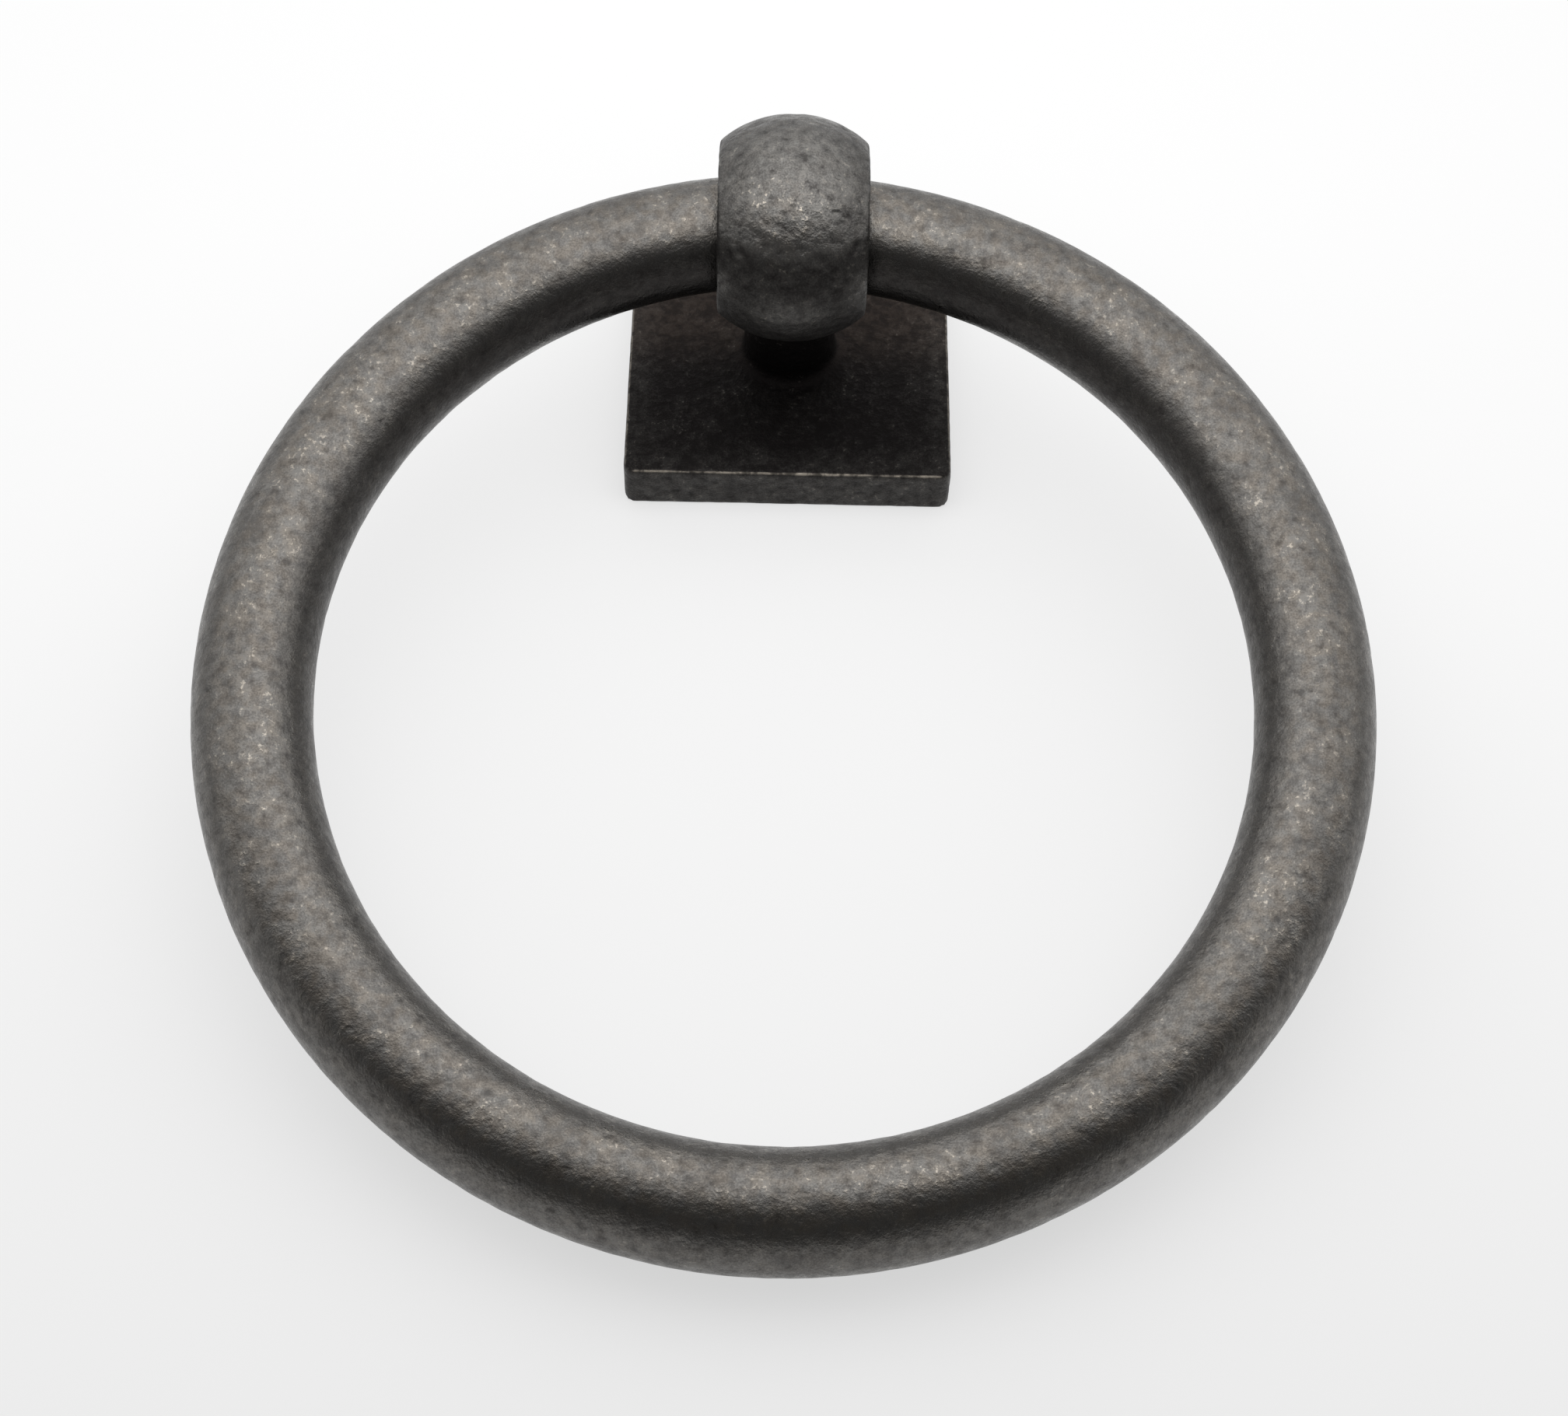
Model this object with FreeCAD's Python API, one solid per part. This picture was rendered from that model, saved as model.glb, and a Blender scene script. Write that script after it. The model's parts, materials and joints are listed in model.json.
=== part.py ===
import FreeCAD, Part
import math
import os

# Ring pull handle for a cabinet door or drawer: a closed ring of round bar hangs in the eye of a small cast base.
# The base is one casting: a square plate, a short round post and a ball that is cut flat on both sides and bored.
# Frame, in millimetres: origin at the centre of the plate's back, +Z out of the mounting surface.
# The ring lies towards -Y, with its free end resting on the plane of the plate's back.

# Ring
bar_diameter = 8.0
ring_radius = 35.0  # centre of the ring to the middle of the bar

# Plate
plate_side = 24.0
plate_thickness = 3.75
plate_corner_radius = 0.9  # upright corners
plate_rim_radius = 0.35  # edge round the front face

# Post
post_diameter = 6.8
foot_fillet = 0.8  # cove from the plate to the post
neck_fillet = 0.8  # cove from the post to the ball

# Eye
ball_diameter = 16.0
eye_width = 10.6  # across the ball's two flats
eye_height = 16.7  # mounting surface to the bore's axis
eye_edge_radius = 0.5  # edge between a flat and the ball
bore_edge_radius = 0.5  # mouths of the bore
bar_drop = 0.3  # the bar lies this far below the bore's axis, by its own weight
bar_clearance = 0.15  # least gap between the bar and the bore, about

# Tapped hole for the fixing screw, drawn at its core diameter
screw_core_diameter = 3.3
screw_hole_depth = 9.0  # full diameter, without the drill's point
screw_mouth_chamfer = 0.35
drill_point_angle = 118.0

# Derived places
bar_radius = bar_diameter / 2
ball_radius = ball_diameter / 2
post_radius = post_diameter / 2
half_eye = eye_width / 2
flat_radius = math.sqrt(ball_radius ** 2 - half_eye ** 2)  # round flat on each side of the ball
eye_centre = FreeCAD.Vector(0, 0, eye_height)
swing_centre = FreeCAD.Vector(0, 0, eye_height - bar_drop)  # middle of the bar in the eye: the ring turns about it
x_axis = FreeCAD.Vector(1, 0, 0)
z_axis = FreeCAD.Vector(0, 0, 1)
tolerance = 1e-4  # two measures closer than this are the same

# The bar is bent and lies low, so in a straight bore it needs more room than its own diameter.
# The bend goes level, and the drop straight down.
inner_radius = ring_radius - bar_radius
bore_half_wall = half_eye - bore_edge_radius
bend_drop = inner_radius - math.sqrt(inner_radius ** 2 - bore_half_wall ** 2)
bore_radius = bar_radius + math.hypot(bar_drop, bend_drop) + bar_clearance

# The ring's plane slopes down from the eye until the free end meets the mounting surface.
ring_slope = math.asin((swing_centre.z - bar_radius) / (2 * ring_radius))


def point(radius, height):
    """A point of a profile that is turned about the Z axis."""
    return FreeCAD.Vector(radius, 0, height)


def arc(circle_centre, radius, first, last):
    """The short arc of a profile's circle from one of its points to another."""
    middle = (first + last) * 0.5 - circle_centre
    middle.normalize()
    return Part.Arc(first, circle_centre + middle * radius, last).toShape()


def line(first, last):
    return Part.LineSegment(first, last).toShape()


def turned(edges):
    """The solid that a closed profile sweeps about the Z axis."""
    face = Part.Face(Part.Wire(edges))
    return face.revolve(FreeCAD.Vector(), z_axis, 360)


def upright_edges(body):
    """The straight edges of a body that run along Z."""
    straight = [edge for edge in body.Edges if isinstance(edge.Curve, Part.Line)]
    return [edge for edge in straight if edge.tangentAt(edge.FirstParameter).cross(z_axis).Length < tolerance]


def edges_at_height(body, height):
    """The edges of a body that lie in one level plane."""
    return [edge for edge in body.Edges if abs(edge.BoundBox.ZMin - height) + edge.BoundBox.ZLength < tolerance]


def rims_on_flats(body, radius):
    """The circles of one radius, about the bore's axis, on the eye's two flats."""
    curved = [edge for edge in body.Edges if not edge.Degenerated]
    circles = [edge for edge in curved if isinstance(edge.Curve, Part.Circle)]
    return [
        edge for edge in circles
        if abs(edge.Curve.Radius - radius) + abs(abs(edge.Curve.Center.x) - half_eye) < tolerance
    ]


def plate():
    """Square plate with rounded corners and a softened front edge."""
    corner = FreeCAD.Vector(-plate_side / 2, -plate_side / 2, 0)
    block = Part.makeBox(plate_side, plate_side, plate_thickness, corner)
    block = block.makeFillet(plate_corner_radius, upright_edges(block))
    return block.makeFillet(plate_rim_radius, edges_at_height(block, plate_thickness))


def post_and_ball():
    """Post and ball as one turned body, coved into the plate below and into each other."""
    foot_centre = point(post_radius + foot_fillet, plate_thickness + foot_fillet)
    foot_low = point(post_radius + foot_fillet, plate_thickness)
    foot_high = point(post_radius, plate_thickness + foot_fillet)

    neck_offset = post_radius + neck_fillet
    neck_drop = math.sqrt((ball_radius + neck_fillet) ** 2 - neck_offset ** 2)
    neck_centre = point(neck_offset, eye_height - neck_drop)
    neck_low = point(post_radius, neck_centre.z)
    neck_high = eye_centre + (neck_centre - eye_centre) * (ball_radius / (ball_radius + neck_fillet))

    ball_top = point(0, eye_height + ball_radius)
    foot_middle = point(0, plate_thickness / 2)
    foot_under = point(foot_low.x, plate_thickness / 2)
    return turned([
        line(foot_middle, foot_under),
        line(foot_under, foot_low),
        arc(foot_centre, foot_fillet, foot_low, foot_high),
        line(foot_high, neck_low),
        arc(neck_centre, neck_fillet, neck_low, neck_high),
        arc(eye_centre, ball_radius, neck_high, ball_top),
        line(ball_top, foot_middle),
    ])


def with_flats(body):
    """Cuts the ball flat on both sides and softens the edges of the cuts."""
    for side in (-1, 1):
        start = eye_centre + x_axis * side * half_eye
        body = body.cut(Part.makeCylinder(ball_radius, ball_radius, start, x_axis * side))
    return body.makeFillet(eye_edge_radius, rims_on_flats(body, flat_radius))


def with_bore(body):
    """Bores the eye for the ring and rounds the bore's mouths."""
    start = eye_centre - x_axis * eye_width
    body = body.cut(Part.makeCylinder(bore_radius, 2 * eye_width, start, x_axis))
    mouth_radius = min(bore_edge_radius, (flat_radius - bore_radius) / 2)  # a thin wall limits it
    return body.makeFillet(mouth_radius, rims_on_flats(body, bore_radius))


def screw_hole():
    """Blind hole from the back, with a drill's point at its end and a chamfered mouth."""
    radius = screw_core_diameter / 2
    point_height = radius / math.tan(math.radians(drill_point_angle / 2))
    return turned([
        line(point(0, 0), point(radius + screw_mouth_chamfer, 0)),
        line(point(radius + screw_mouth_chamfer, 0), point(radius, screw_mouth_chamfer)),
        line(point(radius, screw_mouth_chamfer), point(radius, screw_hole_depth)),
        line(point(radius, screw_hole_depth), point(0, screw_hole_depth + point_height)),
        line(point(0, screw_hole_depth + point_height), point(0, 0)),
    ])


def base():
    eye = with_bore(with_flats(post_and_ball()))
    return plate().fuse(eye).removeSplitter().cut(screw_hole())


def ring():
    """Closed ring through the eye, lying down to the plane of the plate's back."""
    along = FreeCAD.Vector(0, -math.cos(ring_slope), -math.sin(ring_slope))
    ring_axis = x_axis.cross(along)
    return Part.makeTorus(ring_radius, bar_radius, swing_centre + along * ring_radius, ring_axis)


os.makedirs("parts", exist_ok=True)
for name, make in {"base": base, "ring": ring}.items():
    make().exportStep(f"parts/{name}.step")

print(f"bore diameter {2 * bore_radius:.3f}, ring slope {math.degrees(ring_slope):.3f} degrees")
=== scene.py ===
import json
import math
import bmesh
import bpy
import numpy as np
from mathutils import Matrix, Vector


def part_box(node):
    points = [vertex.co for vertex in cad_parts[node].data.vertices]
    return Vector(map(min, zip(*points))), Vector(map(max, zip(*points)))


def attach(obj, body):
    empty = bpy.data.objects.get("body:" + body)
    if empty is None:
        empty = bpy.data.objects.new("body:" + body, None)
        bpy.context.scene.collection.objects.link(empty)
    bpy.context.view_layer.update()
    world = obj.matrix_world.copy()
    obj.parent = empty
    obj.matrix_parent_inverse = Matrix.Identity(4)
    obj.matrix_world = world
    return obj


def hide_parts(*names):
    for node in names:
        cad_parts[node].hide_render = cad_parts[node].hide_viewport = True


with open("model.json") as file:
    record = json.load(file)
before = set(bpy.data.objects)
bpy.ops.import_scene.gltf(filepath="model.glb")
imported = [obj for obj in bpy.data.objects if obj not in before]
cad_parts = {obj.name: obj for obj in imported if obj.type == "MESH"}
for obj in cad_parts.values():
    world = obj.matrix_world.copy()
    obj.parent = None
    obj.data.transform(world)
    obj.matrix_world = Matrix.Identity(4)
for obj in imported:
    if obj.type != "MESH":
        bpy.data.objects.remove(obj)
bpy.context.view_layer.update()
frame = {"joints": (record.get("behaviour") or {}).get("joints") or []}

mm = 0.001
twoPi = 2 * math.pi
seedStep = (13.7, 7.3, 19.1)  # millimetres, from one noise to the next, so that no two fall together


# Small helpers for node trees and meshes

def feed(tree, socket, value):
    if isinstance(value, bpy.types.NodeSocket):
        tree.links.new(value, socket)
    else:
        socket.default_value = value


def addNode(tree, kind, inputs=None, **settings):
    node = tree.nodes.new(kind)
    for key, value in settings.items():
        setattr(node, key, value)
    for key, value in (inputs or {}).items():
        feed(tree, node.inputs[key], value)
    return node


def mathNode(tree, operation, first, second=0.0):
    return addNode(tree, "ShaderNodeMath", {0: first, 1: second}, operation=operation).outputs[0]


def times(tree, first, *others):
    for other in others:
        first = mathNode(tree, "MULTIPLY", first, other)
    return first


def oneLess(tree, value):
    return mathNode(tree, "SUBTRACT", 1.0, value)


# A weighted sum of node outputs
def blend(tree, *shares):
    total = None
    for value, weight in shares:
        part = times(tree, value, weight)
        total = part if total is None else mathNode(tree, "ADD", total, part)
    return total


def vectorNode(tree, operation, first, second=(0.0, 0.0, 0.0)):
    return addNode(tree, "ShaderNodeVectorMath", {0: first, 1: second}, operation=operation).outputs


def axesOf(tree, vector):
    return addNode(tree, "ShaderNodeSeparateXYZ", {0: vector}).outputs


def vectorOf(tree, **axes):
    return addNode(tree, "ShaderNodeCombineXYZ", axes).outputs[0]


def rangeNode(tree, value, low, high, toLow=0.0, toHigh=1.0):
    ends = {"Value": value, "From Min": low, "From Max": high, "To Min": toLow, "To Max": toHigh}
    return addNode(tree, "ShaderNodeMapRange", ends, interpolation_type="SMOOTHSTEP").outputs[0]


def mixColour(tree, share, first, second, kind="MIX"):
    node = addNode(tree, "ShaderNodeMix", data_type="RGBA", blend_type=kind)
    values = {"Factor_Float": share, "A_Color": first, "B_Color": second}
    for socket in node.inputs:
        if socket.identifier in values:
            feed(tree, socket, values[socket.identifier])
    return next(socket for socket in node.outputs if socket.identifier == "Result_Color")


def perSize(tree, size):
    if isinstance(size, bpy.types.NodeSocket):
        return mathNode(tree, "DIVIDE", 1.0, size)
    return 1 / size


def noiseNode(tree, place, size, detail, roughness=0.5):
    settings = {"Vector": place, "Scale": perSize(tree, size), "Detail": detail, "Roughness": roughness}
    return addNode(tree, "ShaderNodeTexNoise", settings).outputs[0]


def shifted(tree, place, seed):
    return vectorNode(tree, "ADD", place, tuple(part * mm * seed for part in seedStep))[0]


def newMaterial(name):
    material = bpy.data.materials.new(name)
    material.use_nodes = True
    material.node_tree.nodes.clear()
    return material, material.node_tree


def newObject(name, data):
    thing = bpy.data.objects.new(name, data)
    bpy.context.scene.collection.objects.link(thing)
    return thing


def meshFrom(name, points, faces):
    mesh = bpy.data.meshes.new(name)
    mesh.from_pydata([tuple(point) for point in points], [], faces)
    return mesh


def readPoints(mesh):
    points = np.empty(len(mesh.vertices) * 3)
    mesh.vertices.foreach_get("co", points)
    return points.reshape(-1, 3)


def writePoints(mesh, points):
    mesh.vertices.foreach_set("co", points.ravel())
    mesh.update()


# Turns the evaluated object, its modifiers included, into a plain mesh
def settle(thing):
    graph = bpy.context.evaluated_depsgraph_get()
    mesh = bpy.data.meshes.new_from_object(thing.evaluated_get(graph))
    thing.modifiers.clear()
    old = thing.data
    thing.data = mesh
    bpy.data.meshes.remove(old)
    return thing


def outward(thing):
    work = bmesh.new()
    work.from_mesh(thing.data)
    bmesh.ops.recalc_face_normals(work, faces=work.faces)
    work.to_mesh(thing.data)
    work.free()
    return thing


def report(thing):
    mesh = thing.data
    mesh.calc_loop_triangles()
    print(f"{thing.name}: {len(mesh.vertices)} points, {len(mesh.loop_triangles)} triangles")


# Sets a Geometry Nodes modifier's inputs by identifier, before the object is first evaluated
def growWith(thing, tree, values):
    grow = thing.modifiers.new(tree.name, "NODES")
    grow.node_group = tree
    for item in tree.interface.items_tree:
        key = item.name[0].lower() + item.name[1:].replace(" ", "")  # Bar Radius takes barRadius
        if item.item_type == "SOCKET" and item.in_out == "INPUT" and key in values:
            grow[item.identifier] = values[key]
    return settle(thing)


def newTree(name, numbers, wholes=()):
    tree = bpy.data.node_groups.new(name, "GeometryNodeTree")
    tree.interface.new_socket("Geometry", in_out="INPUT", socket_type="NodeSocketGeometry")
    tree.interface.new_socket("Geometry", in_out="OUTPUT", socket_type="NodeSocketGeometry")
    for label in numbers:
        tree.interface.new_socket(label, in_out="INPUT", socket_type="NodeSocketFloat")
    for label in wholes:
        tree.interface.new_socket(label, in_out="INPUT", socket_type="NodeSocketInt")
    tree.interface.new_socket("Finish", in_out="INPUT", socket_type="NodeSocketMaterial")
    return tree, addNode(tree, "NodeGroupInput").outputs


def closeTree(tree, geometry, finish, smooth=True, sharp=None):
    if smooth:
        geometry = addNode(tree, "GeometryNodeSetShadeSmooth", {0: geometry}).outputs[0]
    if sharp is not None:
        edges = {"Geometry": geometry, "Selection": sharp, "Shade Smooth": False}
        geometry = addNode(tree, "GeometryNodeSetShadeSmooth", edges, domain="EDGE").outputs[0]
    real = addNode(tree, "GeometryNodeRealizeInstances", {0: geometry}).outputs[0]
    dressed = addNode(tree, "GeometryNodeSetMaterial", {"Geometry": real, "Material": finish})
    addNode(tree, "NodeGroupOutput", {0: dressed.outputs[0]})
    return tree


# Aged iron: a tumbled, blackened casting whose high spots are rubbed pale

agedIron = {
    "patina": (0.090, 0.083, 0.077, 1),  # dark coat left in the low spots
    "rubbed": (0.156, 0.145, 0.133, 1),
    "bare": (0.58, 0.52, 0.44, 1),  # bright flecks and edges
    "soot": (0.0117, 0.0103, 0.0101, 1),  # thick black coat in the hollows of the base, also used for painted shade there and inside the ring
    "bloom": (0.072, 0.054, 0.044, 1),  # brown film on the rear of the plate
    "patinaRoughness": 0.40,
    "rubbedRoughness": 0.30,
    "sootRoughness": 0.62,
    "cloudNoise": (2.4 * mm, 2.0, 0.5),  # size, detail and roughness
    "skinNoise": (0.7 * mm, 3.5, 0.55),
    "grainNoise": (0.12 * mm, 1.0, 0.5),
    "tintNoise": (0.9 * mm, 2.0, 0.5),
    "fleckNoise": (0.30 * mm, 3.0, 0.65),
    "rubbedMix": (0.20, 0.45, 0.35),  # shares of cloud, skin and grain
    "rubbedRange": (0.39, 0.61),  # heights of the noise at which this starts and is full, as in each range
    "warmRange": (0.30, 0.70),
    "plainWarmth": 0.3,  # warm tint where nothing is worn
    "pitRange": (0.40, 0.28),
    "pitShade": 0.29,  # how dark the pits are
    "fleckRange": (0.54, 0.67),
    "clusterMix": (0.5, 0.5),  # shares of cloud and skin
    "clusterRange": (0.48, 0.62),
    "fleckShare": 0.30,
    "fleckGloss": 0.6,  # how much smoother the flecks are
    "fleckDepth": 0.040 * mm,
    "grainDepth": 0.008 * mm,
    "dingSize": 0.9 * mm,
    "dingStretch": 2.2,
    "dingTurn": (0.3, 0.5, 0.9),  # radians
    "dingReach": (0.30, 0.05),  # rim and floor of a ding, in cells
    "dingChance": (0.40, 0.75),
    "insideShade": 0.36,  # how much darker the inside of the ring is: a darker coat, with painted shade towards the eye
    "sootBreak": 0.10,  # how far the skin shows through the soot
    "sootFlecks": 0.16,
    "bloomRange": (0.36, 0.60),
    "bloomLeast": 0.4,  # share of the film in the low spots
    "arrisRange": (0.38, 0.58),
    "arrisLeast": 0.22,  # share of the worn edge in the low spots
}
ringCoat = {
    "skin": 0.045 * mm,  # depth of the relief
    "dings": 0.014 * mm,
    "flecks": 0.35,  # against agedIron
    "worn": 0.9,  # flecks added where the piece is rubbed most
    "pits": 1.0,
    "patches": 0.78,  # how far rubbed and dark patches differ
    "warm": (1.025, 1.00, 0.96, 1),  # tint of the worn places
    "cool": (0.965, 1.00, 1.03, 1),  # tint of the rest
}
baseCoat = {  # the casting is rougher than the bar
    "skin": 0.115 * mm,
    "dings": 0.085 * mm,
    "flecks": 0.7,
    "worn": 2.1,
    "pits": 1.6,
    "patches": 1.0,
    "warm": (1.00, 1.00, 0.99, 1),
    "cool": (0.955, 0.997, 1.03, 1),
}


# Short dings, in about half the cells of a stretched scatter
def dings(tree, place, look):
    longways = (1 / look["dingStretch"], 1.0, 1.0)
    turn = {"Vector": place, "Rotation": look["dingTurn"], "Scale": longways}
    turned = addNode(tree, "ShaderNodeMapping", turn).outputs[0]
    cells = addNode(tree, "ShaderNodeTexVoronoi", {"Vector": turned, "Scale": 1 / look["dingSize"]})
    chance = addNode(tree, "ShaderNodeSeparateColor", {0: cells.outputs["Color"]}).outputs[0]
    depth = rangeNode(tree, cells.outputs["Distance"], *look["dingReach"])
    return times(tree, depth, rangeNode(tree, chance, *look["dingChance"]))


def mark(tree, name):
    return addNode(tree, "ShaderNodeAttribute", attribute_name=name).outputs["Fac"]


# Share of bare metal on the arris round the plate's face, from the distance to the plate's sharp corner
def platesArris(tree, place, sizes):
    x, y, z = axesOf(tree, place)
    front = times(tree, y, -1.0)
    sides = mathNode(tree, "MAXIMUM", mathNode(tree, "ABSOLUTE", x), y)
    above = mathNode(tree, "SUBTRACT", z, sizes["plateThickness"] * mm)
    ends = (sizes["arrisTo"] * mm, sizes["arrisFrom"] * mm)
    shares = []
    for outer, share in ((front, 1.0), (sides, sizes["sideArris"])):
        aside = mathNode(tree, "SUBTRACT", outer, plateHalf * mm)
        squares = (mathNode(tree, "POWER", gap, 2.0) for gap in (aside, above))
        distance = mathNode(tree, "SQRT", mathNode(tree, "ADD", *squares))
        shares.append(rangeNode(tree, distance, *ends, 0.0, share))
    return mathNode(tree, "MAXIMUM", *shares)


def ironMaterial(name, look, coat, onBase):
    material, tree = newMaterial(name)
    place = addNode(tree, "ShaderNodeTexCoord").outputs["Object"]
    cloud = noiseNode(tree, place, *look["cloudNoise"])
    skin = noiseNode(tree, shifted(tree, place, 1), *look["skinNoise"])
    grain = noiseNode(tree, shifted(tree, place, 2), *look["grainNoise"])
    tint = noiseNode(tree, shifted(tree, place, 3), *look["tintNoise"])
    fleck = noiseNode(tree, shifted(tree, place, 4), *look["fleckNoise"])
    ding = dings(tree, shifted(tree, place, 5), look)
    worn = mark(tree, "worn")

    # Share of rubbed metal: high spots of the skin, in slow clouds and broken up by grain
    least = 0.5 - coat["patches"] / 2
    rubbed = blend(tree, *zip((cloud, skin, grain), look["rubbedMix"]))
    rubbed = rangeNode(tree, rubbed, *look["rubbedRange"], least, 1 - least)
    colour = mixColour(tree, rubbed, look["patina"], look["rubbed"])
    warmth = rangeNode(tree, worn, 0.0, 1.0, look["plainWarmth"], 1.0)
    warmth = times(tree, warmth, rangeNode(tree, tint, *look["warmRange"]))
    tints = mixColour(tree, warmth, coat["cool"], coat["warm"])
    colour = mixColour(tree, 1.0, colour, tints, "MULTIPLY")
    roughness = rangeNode(tree, rubbed, 0.0, 1.0, look["patinaRoughness"], look["rubbedRoughness"])

    # Dark pits in the skin, and bright flecks in clusters on its high spots
    pits = rangeNode(tree, skin, *look["pitRange"], 0.0, look["pitShade"] * coat["pits"])
    colour = mixColour(tree, pits, colour, look["soot"])
    cluster = blend(tree, *zip((cloud, skin), look["clusterMix"]))
    bare = times(tree, rangeNode(tree, fleck, *look["fleckRange"]),
                 rangeNode(tree, cluster, *look["clusterRange"]))
    share = mathNode(tree, "ADD", times(tree, worn, coat["worn"]), coat["flecks"])
    colour = mixColour(tree, times(tree, bare, share, look["fleckShare"]), colour, look["bare"])
    roughness = times(tree, roughness, oneLess(tree, times(tree, bare, look["fleckGloss"])))

    if onBase:
        # Soot, which also paints shade round the post and on the ball's lower half
        shows = blend(tree, (rubbed, look["sootBreak"]), (bare, look["sootFlecks"]))
        soot = times(tree, mark(tree, "soot"), oneLess(tree, shows))
        clear = oneLess(tree, soot)
        ding = times(tree, ding, clear)
        roughness = blend(tree, (roughness, clear), (soot, look["sootRoughness"]))
        colour = mixColour(tree, soot, colour, look["soot"])
        film = rangeNode(tree, skin, *look["bloomRange"], look["bloomLeast"], 1.0)
        colour = mixColour(tree, times(tree, mark(tree, "bloom"), film), colour, look["bloom"])
        edge = rangeNode(tree, skin, *look["arrisRange"], look["arrisLeast"], 1.0)
        arris = times(tree, platesArris(tree, place, castBase), edge)
        colour = mixColour(tree, arris, colour, look["bare"])
    else:
        # Darker coat on the ring's inside, with painted shade that deepens towards the eye
        inside = times(tree, mark(tree, "inside"), look["insideShade"])
        colour = mixColour(tree, inside, colour, look["soot"])

    relief = blend(tree, (skin, coat["skin"]), (grain, look["grainDepth"]), (fleck, look["fleckDepth"]),
                   (ding, -coat["dings"]))
    bumps = addNode(tree, "ShaderNodeBump", {"Strength": 1.0, "Distance": 1.0, "Height": relief})
    shader = addNode(tree, "ShaderNodeBsdfPrincipled", {
        "Metallic": 1.0, "Base Color": colour, "Roughness": roughness, "Normal": bumps.outputs[0]})
    addNode(tree, "ShaderNodeOutputMaterial", {"Surface": shader.outputs[0]})
    return material


# Tumbled skin: slow waves and shallow dents, always pressed inwards, so no box grows

tumbled = {
    "waveDetail": 1.0,
    "dentReach": (0.55, 0.05),  # rim and floor of a dent, in cells
}


def tumbledSkin(tree, geometry, given, dentShare=1.0):
    place = addNode(tree, "GeometryNodeInputPosition").outputs[0]
    wave = noiseNode(tree, place, given["Wave Size"], tumbled["waveDetail"])
    scatter = {"Vector": place, "Scale": perSize(tree, given["Dent Size"])}
    cells = addNode(tree, "ShaderNodeTexVoronoi", scatter, feature="SMOOTH_F1")
    dent = rangeNode(tree, cells.outputs["Distance"], *tumbled["dentReach"])
    waveDrop = times(tree, oneLess(tree, wave), given["Wave Depth"])
    dentDrop = times(tree, dent, given["Dent Depth"], dentShare)
    drop = times(tree, mathNode(tree, "ADD", waveDrop, dentDrop), -1.0)
    normal = addNode(tree, "GeometryNodeInputNormal").outputs[0]
    inward = addNode(tree, "ShaderNodeVectorMath", {0: normal, "Scale": drop}, operation="SCALE")
    move = {"Geometry": geometry, "Offset": inward.outputs[0]}
    return addNode(tree, "GeometryNodeSetPosition", move).outputs[0]


# Ring: round bar on a circle, swung down about the middle of the bar in the eye

hinge = Vector(frame["joints"][0]["pos_m"])
ringLow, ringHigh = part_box("ring")
ringBar = {
    "barRadius": ringHigh.z - hinge.z,
    "stepsRound": 880,  # along the ring
    "stepsBar": 100,  # round the bar
    "waveDepth": 0.05 * mm,
    "waveSize": 5.0 * mm,
    "dentDepth": 0.03 * mm,
    "dentSize": 1.3 * mm,
    "insideRange": (-0.28, -0.92),  # how squarely the skin faces away from the ring's middle, as a cosine
    "insideFar": 0.1,  # thickness of the inner coat and painted shade at the free end
    "insideNear": 2.3,  # and near the eye, mostly painted shade of the ball and plate
    "underRange": (-0.45, 0.15),  # upward part of the skin's direction
    "underShare": 0.3,  # how much of the inner coat and painted shade is left on the underside
    "wornRange": (0.72, 0.98),  # the same part, either way, on the worn crests of the two faces
}


def storeMark(tree, geometry, name, value):
    stored = {"Geometry": geometry, "Name": name, "Value": value}
    kind = {"data_type": "FLOAT", "domain": "POINT"}
    return addNode(tree, "GeometryNodeStoreNamedAttribute", stored, **kind).outputs[0]


# Marks the inside of the ring, darker with a coat and with painted shade that deepens towards the eye, and
# the worn crests of its two faces, before the ring is moved to its place
def markRing(tree, geometry, sizes):
    place = addNode(tree, "GeometryNodeInputPosition").outputs[0]
    normal = addNode(tree, "GeometryNodeInputNormal").outputs[0]
    away = vectorNode(tree, "NORMALIZE", place)[0]
    facing = vectorNode(tree, "DOT_PRODUCT", away, normal)["Value"]
    bearing = axesOf(tree, away)[1]
    upright = axesOf(tree, normal)[2]
    inside = times(
        tree, rangeNode(tree, facing, *sizes["insideRange"]),
        rangeNode(tree, bearing, -1.0, 1.0, sizes["insideFar"], sizes["insideNear"]),
        rangeNode(tree, upright, *sizes["underRange"], sizes["underShare"], 1.0))
    worn = rangeNode(tree, mathNode(tree, "ABSOLUTE", upright), *sizes["wornRange"])
    return storeMark(tree, storeMark(tree, geometry, "inside", inside), "worn", worn)


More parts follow.
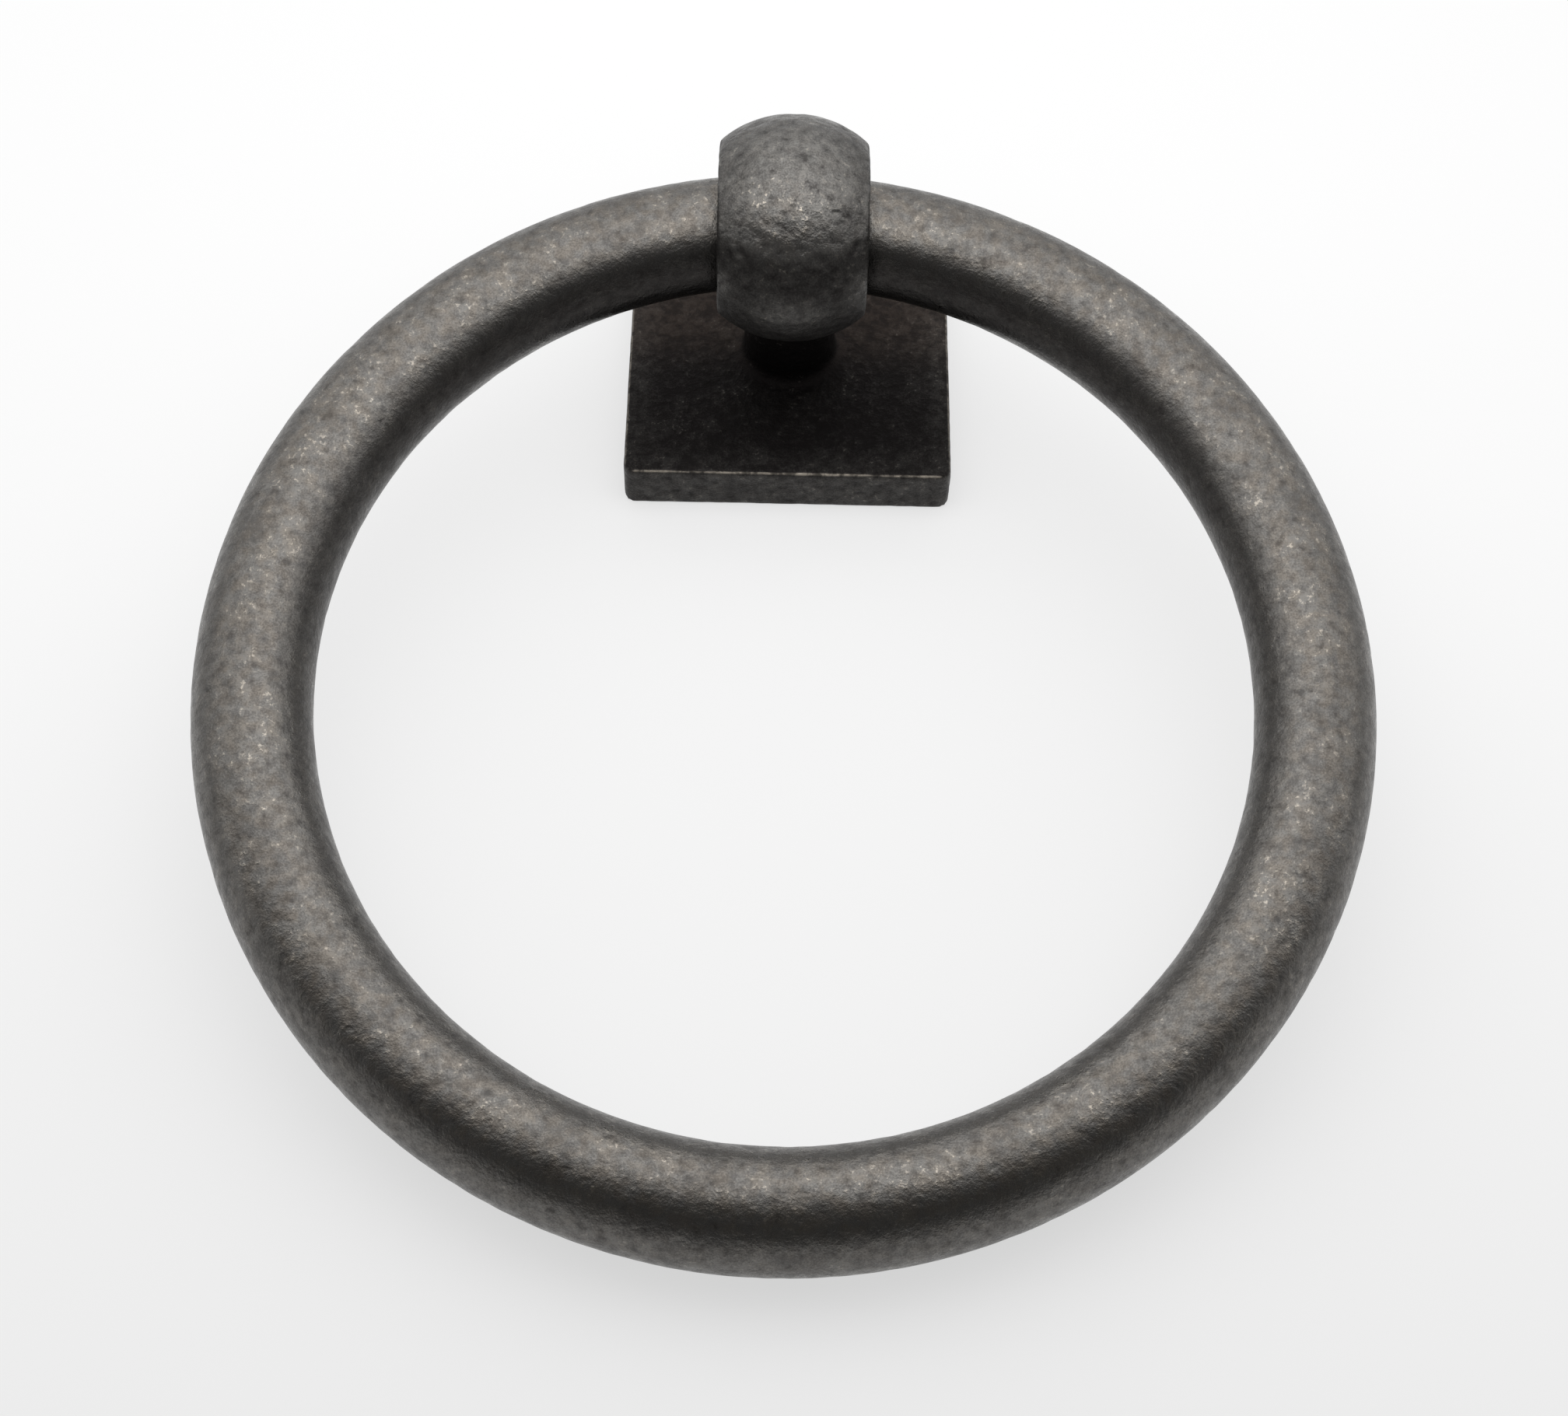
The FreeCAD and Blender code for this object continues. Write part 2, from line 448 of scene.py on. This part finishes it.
def ringTree(sizes):
    numbers = ("Ring Radius", "Bar Radius", "Slope", "Height",
               "Wave Depth", "Wave Size", "Dent Depth", "Dent Size")
    tree, given = newTree("barRing", numbers, ("Steps Round", "Steps Bar"))
    path = addNode(tree, "GeometryNodeCurvePrimitiveCircle", {
        "Resolution": given["Steps Round"], "Radius": given["Ring Radius"]})
    section = addNode(tree, "GeometryNodeCurvePrimitiveCircle", {
        "Resolution": given["Steps Bar"], "Radius": given["Bar Radius"]})
    bar = addNode(tree, "GeometryNodeCurveToMesh", {
        "Curve": path.outputs[0], "Profile Curve": section.outputs[0]})
    marked = markRing(tree, bar.outputs[0], sizes)
    out = vectorOf(tree, Y=times(tree, given["Ring Radius"], -1.0))
    laid = addNode(tree, "GeometryNodeTransform", {"Geometry": marked, "Translation": out})
    swung = addNode(tree, "GeometryNodeTransform", {
        "Geometry": laid.outputs[0], "Rotation": vectorOf(tree, X=given["Slope"]),
        "Translation": vectorOf(tree, Z=given["Height"])})
    skin = tumbledSkin(tree, swung.outputs[0], given)
    return closeTree(tree, skin, given["Finish"])


def makeRing(sizes):
    ringRadius = (ringHigh.x - ringLow.x) / 2 - sizes["barRadius"]
    slope = math.asin((hinge.z - sizes["barRadius"]) / (2 * ringRadius))
    place = {"ringRadius": ringRadius, "slope": slope, "height": hinge.z, "finish": ringIron}
    thing = newObject("ringBar", bpy.data.meshes.new("ringBar"))
    return outward(growWith(thing, ringTree(sizes), {**sizes, **place}))


ringIron = ironMaterial("ringIron", agedIron, ringCoat, onBase=False)
ring = makeRing(ringBar)
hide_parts("ring")
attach(ring, "ring")
report(ring)


# Base: square plate, post and bored eye, cast in one

baseLow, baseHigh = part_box("base")
castBase = {
    # Shape, in millimetres
    "plateThickness": 3.75,
    "cornerRadius": 0.9,
    "rimRadius": 0.35,
    "postRadius": 3.4,
    "footCove": 0.8,
    "neckCove": 0.8,
    "joinDepth": 1.9,  # how far the post reaches into the ball
    "joinInset": 0.5,  # how much thinner it is there
    "ballRadius": 8.0,
    "eyeWidth": 10.6,
    "eyeEdge": 0.5,
    "boreRadius": 4.629,
    "holeRadius": 2.0,  # at the thread's root
    "coreRadius": 1.65,
    "threadEnd": 8.2,
    "holeDepth": 9.0,
    "mouthChamfer": 0.35,
    "pointHeight": 1.0,
    "sharpFrom": 20.0,  # degrees: the hole's edges that bend more stay sharp
    "stepsRound": 360,
    "stepsHole": 96,
    "arcSteps": 14,
    "voxel": 0.175,
    "softenShare": 0.5,
    "softenRounds": 4,
    # Tumbled skin, in metres
    "waveDepth": 0.05 * mm,
    "waveSize": 4.0 * mm,
    "dentDepth": 0.06 * mm,
    "dentSize": 1.1 * mm,
    "plateDents": 0.4,  # the plate is smoother
    # Worn edge round the plate, as distances from the sharp corner
    "arrisFrom": 0.15,
    "arrisTo": 0.26,
    "sideArris": 0.4,  # against 1 at the front
    # Soot, with painted shade under the ball, and brown film, as shares
    "faceSoot": 0.86,
    "rimSoot": 0.77,  # on the face, near its edge
    "postSoot": 1.12,  # soot, with painted shade under the ball; more than whole, so no skin shows through
    "sideSoot": 0.70,
    "eyeSoot": 0.83,  # soot and painted shade on the lower half of the ball
    "flankSoot": 0.24,  # towards the ball's flats
    "rubbedSpot": 0.38,  # how much less soot there is where fingers pass under the ball
    "edgeSpots": 0.42,  # the same at the low front edges of the flats
    "bloom": 0.32,
    # Where each starts and where it is full: heights over the plate's face
    "faceLow": (-0.25, 0.0),
    "faceHigh": (0.6, 0.2),
    "postLow": (-0.1, 0.0),
    "sideHigh": (0.1, -0.25),
    # Heights over the mounting surface
    "postHigh": (10.0, 9.2),
    "eyeLow": (8.6, 9.6),
    # Other places
    "postAround": (10.5, 5.0),  # from the post's axis
    "rimInward": (0.5, 3.5),  # from the plate's edge
    "eyeUnder": (0.68, 0.42),  # upward part of the skin's direction
    "flankOut": (2.0, 4.2),  # from the middle of the eye
    "bloomBack": (-3.0, 2.5),  # towards the rear
    "rubbedPlace": (0.0, -0.4),  # across, and up from the bore's axis
    "rubbedSize": (2.3, 1.3),
    "rubbedFront": (6.5, 7.5),  # towards the front
    "edgePlace": (5.0, 1.0),
    "edgeSize": (0.7, 1.2),
    "edgeFront": (4.5, 5.5),
    "wornMiddle": (-0.8, -4.6),  # most rubbed place on the ball
    "wornReach": (3.6, 0.0),  # from that place
    "wornUp": (0.0, 2.0),  # from the bore's axis
}
plateHalf = (baseHigh.x - baseLow.x) / 2 / mm
eyeHeight = baseHigh.z / mm - castBase["ballRadius"]


def arcPoints(centre, radius, first, last, steps):
    angles = np.linspace(math.radians(first), math.radians(last), steps + 1)
    return [(centre[0] + radius * math.cos(a), centre[1] + radius * math.sin(a)) for a in angles]


# Distance from the axis to the plate's edge along a bearing, and the slant of the edge there
def plateEdge(bearing, corner):
    along = np.array([abs(math.cos(bearing)), abs(math.sin(bearing))])
    reach = plateHalf / along.max()
    slant = along.max()
    inner = plateHalf - corner
    if (reach * along).min() > inner:
        middle = np.array([inner, inner])
        lean = along @ middle
        reach = lean + math.sqrt(lean ** 2 - middle @ middle + corner ** 2)
        slant = along @ (reach * along - middle) / corner
    return reach, slant


# Half section of plate and post, from the axis on top to the axis on the back, for one bearing
def bodySection(sizes, bearing):
    top = sizes["plateThickness"]
    post = sizes["postRadius"]
    cove = sizes["neckCove"]
    foot = sizes["footCove"]
    rim = sizes["rimRadius"]
    steps = sizes["arcSteps"]
    offset = post + cove
    drop = math.sqrt((sizes["ballRadius"] + cove) ** 2 - offset ** 2)
    neckStart = math.degrees(math.atan2(drop, -offset))  # towards the ball's middle
    insideBall = eyeHeight - sizes["ballRadius"] + sizes["joinDepth"]
    section = [(0.0, insideBall), (post - sizes["joinInset"], insideBall)]
    section += arcPoints((offset, eyeHeight - drop), cove, neckStart, 180, steps)
    section += arcPoints((post + foot, top + foot), foot, 180, 270, steps)
    reach, slant = plateEdge(bearing, sizes["cornerRadius"])
    for radius, height in arcPoints((-rim, top - rim), rim, 90, 0, steps):
        section.append((reach + radius / slant, height))
    section += [(reach, 0.0), (0.0, 0.0)]
    return section


# Points and faces of a section that goes once round; rowAt gives its points at an angle
def sweep(turns, rowAt, closed):
    rows = np.array([rowAt(twoPi * turn / turns) for turn in range(turns)], float)
    count = rows.shape[1]
    faces = []
    for turn in range(turns):
        here = turn * count
        beside = (turn + 1) % turns * count
        for step in range(count if closed else count - 1):
            ahead = (step + 1) % count
            faces.append((here + step, here + ahead, beside + ahead, beside + step))
    return rows.reshape(-1, 3), faces


def plateAndPost(sizes):
    def rowAt(angle):
        return [(r * math.cos(angle), r * math.sin(angle), z) for r, z in bodySection(sizes, angle)]
    return sweep(sizes["stepsRound"], rowAt, closed=False)


# Section of the eye's wall as (distance from the bore's axis, place along it)
def eyeSection(sizes):
    ball = sizes["ballRadius"]
    half = sizes["eyeWidth"] / 2
    edge = sizes["eyeEdge"]
    bore = sizes["boreRadius"]
    steps = sizes["arcSteps"]
    reach = math.sqrt((ball - edge) ** 2 - (half - edge) ** 2)  # middle of the edge's rounding
    lean = math.degrees(math.atan2(half - edge, reach))
    mouth = (math.sqrt(ball ** 2 - half ** 2) - bore) / 2
    side = arcPoints((0, 0), ball, 0, lean, steps)
    side += arcPoints((reach, half - edge), edge, lean, 90, steps)
    side += arcPoints((bore + mouth, half - mouth), mouth, 90, 180, steps)
    side += [(bore, 0.0)]
    mirrored = [(r, -x) for r, x in reversed(side[1:-1])]
    return side + mirrored


def eyeWall(sizes):
    section = eyeSection(sizes)

    def rowAt(angle):
        return [(x, r * math.cos(angle), eyeHeight + r * math.sin(angle)) for r, x in section]
    return sweep(sizes["stepsRound"], rowAt, closed=True)


def screwHole(sizes):
    radius, core, mouth = sizes["holeRadius"], sizes["coreRadius"], sizes["mouthChamfer"]
    profile = [
        (0.0, -mouth), (radius + 2 * mouth, -mouth), (radius, mouth), (radius, sizes["threadEnd"]),
        (core, sizes["threadEnd"] + radius - core), (core, sizes["holeDepth"]),
        (0.0, sizes["holeDepth"] + sizes["pointHeight"])]

    def rowAt(angle):
        return [(r * math.cos(angle), r * math.sin(angle), z) for r, z in profile]
    return sweep(sizes["stepsHole"], rowAt, closed=False)


samePoint = 1e-5  # millimetres, within which points are merged
noLength = 1e-6  # an edge shorter than this is dissolved


def closedMesh(name, points, faces):
    mesh = meshFrom(name, points, faces)
    work = bmesh.new()
    work.from_mesh(mesh)
    bmesh.ops.remove_doubles(work, verts=work.verts, dist=samePoint)
    bmesh.ops.dissolve_degenerate(work, edges=work.edges, dist=noLength)
    bmesh.ops.recalc_face_normals(work, faces=work.faces)
    work.to_mesh(mesh)
    work.free()
    return mesh


# Picks the edges of the screw hole, which stay sharp
def keptSharp(tree, place, reach, bend):
    level = vectorNode(tree, "MULTIPLY", place, (1.0, 1.0, 0.0))[0]
    aside = vectorNode(tree, "LENGTH", level)["Value"]
    angle = addNode(tree, "GeometryNodeInputMeshEdgeAngle").outputs[0]
    bent = mathNode(tree, "GREATER_THAN", angle, bend)
    return times(tree, bent, mathNode(tree, "LESS_THAN", aside, reach))


def baseTree():
    numbers = ("Wave Depth", "Wave Size", "Dent Depth", "Dent Size",
               "Plate Top", "Plate Dents", "Hole Reach", "Hole Bend")
    tree, given = newTree("castSkin", numbers)
    place = addNode(tree, "GeometryNodeInputPosition").outputs[0]
    onPost = mathNode(tree, "GREATER_THAN", axesOf(tree, place)[2], given["Plate Top"])
    dentShare = mathNode(tree, "MAXIMUM", onPost, given["Plate Dents"])
    skin = tumbledSkin(tree, given["Geometry"], given, dentShare)
    sharp = keptSharp(tree, place, given["Hole Reach"], given["Hole Bend"])
    return closeTree(tree, skin, given["Finish"], sharp=sharp)


# Smooth rise from nothing at the first end to one at the second
def ease(value, ends, start=0.0):
    low, high = ends[0] + start, ends[1] + start
    share = np.clip((value - low) / (high - low), 0, 1)
    return share * share * (3 - 2 * share)


def spotAt(across, up, place, size):
    return np.exp(-((across - place[0]) / size[0]) ** 2 - ((up - place[1]) / size[1]) ** 2)


# Marks the soot, thick on the plate and post and thinner on the plate's sides and the ball's lower half,
# with painted shade round the post and under the ball, the worn crown of the ball, and the brown film on
# the plate
def markBase(mesh, sizes):
    x, y, z = (readPoints(mesh) / mm).T
    normals = np.empty(len(mesh.vertices) * 3)
    mesh.vertex_normals.foreach_get("vector", normals)
    upright = normals.reshape(-1, 3)[:, 2]
    top = sizes["plateThickness"]
    toEdge = plateHalf - np.maximum(abs(x), abs(y))
    aboveEye = z - eyeHeight

    onFace = ease(z, sizes["faceLow"], top) * ease(z, sizes["faceHigh"], top)
    # Soot in the hollow round the post, thickened as painted shade under the ball
    onPost = ease(np.hypot(x, y), sizes["postAround"]) * ease(z, sizes["postLow"], top)
    onPost = onPost * ease(z, sizes["postHigh"])
    onSide = ease(z, sizes["sideHigh"], top)
    offPlate = ease(z, sizes["eyeLow"])
    # Soot and painted shade on the ball's lower half
    under = sizes["eyeSoot"] * ease(upright, sizes["eyeUnder"]) * offPlate
    flank = sizes["flankSoot"] * ease(abs(x), sizes["flankOut"]) * offPlate
    rubbed = spotAt(x, aboveEye, sizes["rubbedPlace"], sizes["rubbedSize"]) * ease(-y, sizes["rubbedFront"])
    edges = spotAt(abs(x), aboveEye, sizes["edgePlace"], sizes["edgeSize"]) * ease(-y, sizes["edgeFront"])

    eye = np.maximum(under, flank) - (sizes["rubbedSpot"] * rubbed + sizes["edgeSpots"] * edges)
    face = sizes["rimSoot"] + (sizes["faceSoot"] - sizes["rimSoot"]) * ease(toEdge, sizes["rimInward"])
    soot = np.maximum(onFace * face + sizes["sideSoot"] * onSide + eye, sizes["postSoot"] * onPost)
    aside = np.hypot(x - sizes["wornMiddle"][0], y - sizes["wornMiddle"][1])
    worn = ease(aside, sizes["wornReach"]) * ease(aboveEye, sizes["wornUp"])
    bloom = sizes["bloom"] * onFace * ease(y, sizes["bloomBack"])
    for name, values in (("soot", np.maximum(soot, 0)), ("worn", worn), ("bloom", bloom)):
        stored = mesh.attributes.new(name, "FLOAT", "POINT")
        stored.data.foreach_set("value", values.astype(np.float32))


def makeBase(sizes):
    thing = newObject("castBase", closedMesh("castBase", *plateAndPost(sizes)))
    eye = newObject("eyeWall", closedMesh("eyeWall", *eyeWall(sizes)))
    hole = newObject("screwHole", closedMesh("screwHole", *screwHole(sizes)))
    with bpy.context.temp_override(active_object=thing, selected_editable_objects=[thing, eye]):
        bpy.ops.object.join()
    union = thing.modifiers.new("oneCasting", "REMESH")
    union.mode = "VOXEL"
    union.voxel_size = sizes["voxel"]
    soften = thing.modifiers.new("soften", "SMOOTH")
    soften.factor = sizes["softenShare"]
    soften.iterations = sizes["softenRounds"]
    settle(thing)
    bore = thing.modifiers.new("screwHole", "BOOLEAN")
    bore.operation = "DIFFERENCE"
    bore.object = hole
    bore.solver = "MANIFOLD"
    settle(thing)
    spare = hole.data
    bpy.data.objects.remove(hole)
    bpy.data.meshes.remove(spare)
    writePoints(thing.data, readPoints(thing.data) * mm)
    growWith(thing, baseTree(), {
        **sizes, "finish": baseIron,
        "plateTop": (sizes["plateThickness"] + sizes["footCove"]) * mm,
        "holeReach": (sizes["holeRadius"] + 2 * sizes["mouthChamfer"]) * mm,
        "holeBend": math.radians(sizes["sharpFrom"])})
    writePoints(thing.data, np.clip(readPoints(thing.data), np.array(baseLow), np.array(baseHigh)))
    markBase(thing.data, sizes)
    return thing


baseIron = ironMaterial("baseIron", agedIron, baseCoat, onBase=True)
base = makeBase(castBase)
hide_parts("base")
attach(base, "base")
report(base)


# Thread of the fixing hole: a ridge with sloping sides that climbs round the wall

screwThread = {
    "pitch": 0.7 * mm,
    "rootRadius": castBase["holeRadius"] * mm,
    "ridge": 0.35 * mm,
    "sink": 0.05 * mm,  # the ridge starts this far inside the wall
    "foot": 0.60 * mm,  # width of the ridge at the wall
    "crest": 0.09 * mm,
    "start": 0.70 * mm,
    "turns": 10.0,
    "stepsTurn": 48,
}


def threadTree():
    numbers = ("Pitch", "Root Radius", "Ridge", "Sink", "Foot", "Crest", "Start", "Turns")
    tree, given = newTree("screwThread", numbers, ("Steps Turn",))
    path = addNode(tree, "GeometryNodeCurveSpiral", {
        "Resolution": given["Steps Turn"], "Rotations": given["Turns"], "Reverse": True,
        "Height": times(tree, given["Pitch"], given["Turns"]),
        "Start Radius": given["Root Radius"], "End Radius": given["Root Radius"]})
    upright = addNode(tree, "GeometryNodeSetCurveNormal", {"Curve": path.outputs[0]}, mode="Z_UP")
    foot = times(tree, given["Foot"], 0.5)
    crest = times(tree, given["Crest"], 0.5)
    sunk = given["Sink"]  # the section's X axis points into the wall
    ridge = times(tree, given["Ridge"], -1.0)
    places = ((sunk, foot, -1.0), (sunk, foot, 1.0), (ridge, crest, 1.0), (ridge, crest, -1.0))
    corners = {}
    for count, (across, half, side) in enumerate(places, 1):
        corners[f"Point {count}"] = vectorOf(tree, X=across, Y=times(tree, half, side))
    section = addNode(tree, "GeometryNodeCurvePrimitiveQuadrilateral", corners, mode="POINTS")
    swept = addNode(tree, "GeometryNodeCurveToMesh", {
        "Curve": upright.outputs[0], "Profile Curve": section.outputs[0], "Fill Caps": True})
    lift = {"Geometry": swept.outputs[0], "Translation": vectorOf(tree, Z=given["Start"])}
    placed = addNode(tree, "GeometryNodeTransform", lift)
    return closeTree(tree, placed.outputs[0], given["Finish"], smooth=False)


def makeThread(sizes):
    thing = newObject("screwThread", bpy.data.meshes.new("screwThread"))
    return outward(growWith(thing, threadTree(), {**sizes, "finish": ringIron}))


thread = makeThread(screwThread)
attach(thread, "base")
report(thread)


# Studio: pale floor, a dim dome that is bright behind the object, and a broad soft panel above it

studio = {
    "floorReach": 6.0,  # metres
    "floorDrop": 0.02 * mm,
    "floorColour": (0.72, 0.72, 0.72, 1),
    "floorGlow": 0.62,  # share of plain white in what the camera sees of the floor
    "dimLevel": 0.16,  # all round, to which the bright part adds
    "brightLevel": 0.9,
    "brightSide": (-0.10, 0.98, 0.15),  # towards the brightest part of the dome
    "brightRange": (-0.95, 0.15),  # it starts and is full here, as cosines from that side
    "domeRange": (0.45, 0.15),  # height on the dome, as a sine, above which the panel takes over
    "hazeLevel": 0.67,  # at the horizon, about as pale as the far floor
    "hazeTop": 0.20,
    "panelFrom": (-300 * mm, -106 * mm),  # left and near edges
    "panelTo": (300 * mm, 300 * mm),  # right and far edges
    "panelHeight": 100 * mm,
    "panelLevel": 1.2,  # light that leaves the panel, where 1 is plain white
    "panelEdge": 65 * mm,  # depth of the fade at the near edge
    "coreLevel": 1.2,  # added in the panel's middle
    "coreMiddle": (-3 * mm, -3 * mm),
    "coreReach": 170 * mm,
}


def whiteForCamera(tree):
    path = addNode(tree, "ShaderNodeLightPath").outputs
    seen = mathNode(tree, "MAXIMUM", path["Is Camera Ray"], path["Is Glossy Ray"])
    return mathNode(tree, "MAXIMUM", seen, path["Is Transmission Ray"])


def makeFloor(look):
    reach, low = look["floorReach"], -look["floorDrop"]
    corners = [(-reach, -reach, low), (reach, -reach, low), (reach, reach, low), (-reach, reach, low)]
    floor = newObject("floor", meshFrom("floor", corners, [(0, 1, 2, 3)]))
    material, tree = newMaterial("paleFloor")
    matte = addNode(tree, "ShaderNodeBsdfDiffuse", {"Color": look["floorColour"]})
    glow = addNode(tree, "ShaderNodeEmission", {"Color": (1, 1, 1, 1), "Strength": 1.0})
    share = times(tree, whiteForCamera(tree), look["floorGlow"])
    mixed = addNode(tree, "ShaderNodeMixShader", {0: share, 1: matte.outputs[0], 2: glow.outputs[0]})
    addNode(tree, "ShaderNodeOutputMaterial", {"Surface": mixed.outputs[0]})
    floor.data.materials.append(material)


def makeDome(look):
    world = bpy.data.worlds.new("softDome")
    bpy.context.scene.world = world
    world.use_nodes = True
    tree = world.node_tree
    tree.nodes.clear()
    ray = addNode(tree, "ShaderNodeTexCoord").outputs["Generated"]
    height = axesOf(tree, ray)[2]
    facing = vectorNode(tree, "DOT_PRODUCT", ray, Vector(look["brightSide"]).normalized())["Value"]
    bright = rangeNode(tree, facing, *look["brightRange"], 0.0, look["brightLevel"])
    bright = times(tree, bright, rangeNode(tree, height, *look["domeRange"]))
    level = mathNode(tree, "ADD", bright, look["dimLevel"])
    haze = rangeNode(tree, height, look["hazeTop"], 0.0)
    level = blend(tree, (level, oneLess(tree, haze)), (haze, look["hazeLevel"]))
    dome = addNode(tree, "ShaderNodeBackground", {"Strength": level})
    addNode(tree, "ShaderNodeOutputWorld", {"Surface": dome.outputs[0]})


def makePanel(look):
    left, near = look["panelFrom"]
    right, far = look["panelTo"]
    panel = bpy.data.lights.new("softPanel", "AREA")
    panel.shape = "RECTANGLE"
    panel.size = right - left
    panel.size_y = far - near
    panel.energy = math.pi * panel.size * panel.size_y  # plain white at a strength of 1
    panel.use_nodes = True
    tree = panel.node_tree
    place = addNode(tree, "ShaderNodeNewGeometry").outputs["Position"]
    front = rangeNode(tree, axesOf(tree, place)[1], near, near + look["panelEdge"])
    middle = (*look["coreMiddle"], look["panelHeight"])
    away = vectorNode(tree, "DISTANCE", place, middle)["Value"]
    inner = oneLess(tree, mathNode(tree, "DIVIDE", away, look["coreReach"]))
    core = mathNode(tree, "POWER", mathNode(tree, "MAXIMUM", inner, 0.0), 2.0)
    level = mathNode(tree, "ADD", times(tree, core, look["coreLevel"]), look["panelLevel"])
    feed(tree, tree.nodes["Emission"].inputs["Strength"], times(tree, level, front))
    holder = newObject("softPanel", panel)  # a lamp shines along its own -Z, so it needs no turn
    holder.location = ((left + right) / 2, (near + far) / 2, look["panelHeight"])
    holder.visible_camera = False


makeFloor(studio)
makeDome(studio)
makePanel(studio)
print("studio ready")


# Camera, placed as the photograph was taken

photoCamera = {
    "target": (-0.39 * mm, -60.80 * mm, 48.31 * mm),
    "distance": 128.18 * mm,
    "azimuth": -0.802,  # degrees
    "elevation": 57.298,
    "roll": 1.815,
    "lens": 60.63,  # millimetres, on the sensor's width
    "sensor": 36.0,
    "nearest": 1 * mm,
    "farthest": 20.0,  # metres
}


def makeCamera(look):
    camera = bpy.data.cameras.new("photoCamera")
    camera.sensor_fit = "HORIZONTAL"
    camera.sensor_width = look["sensor"]
    camera.lens = look["lens"]
    camera.clip_start = look["nearest"]
    camera.clip_end = look["farthest"]
    holder = newObject("photoCamera", camera)
    turn, rise, roll = (math.radians(look[key]) for key in ("azimuth", "elevation", "roll"))
    back = Vector((math.sin(turn) * math.cos(rise), -math.cos(turn) * math.cos(rise), math.sin(rise)))
    right = Vector((math.cos(turn), math.sin(turn), 0))
    up = back.cross(right)
    rolledRight = math.cos(roll) * right + math.sin(roll) * up
    rolledUp = math.cos(roll) * up - math.sin(roll) * right
    for row in range(3):
        for column, axis in enumerate((rolledRight, rolledUp, back)):
            holder.matrix_world[row][column] = axis[row]
    holder.matrix_world.translation = Vector(look["target"]) + back * look["distance"]
    bpy.context.scene.camera = holder


makeCamera(photoCamera)
bpy.context.scene.view_settings.view_transform = "Standard"
print("camera ready")
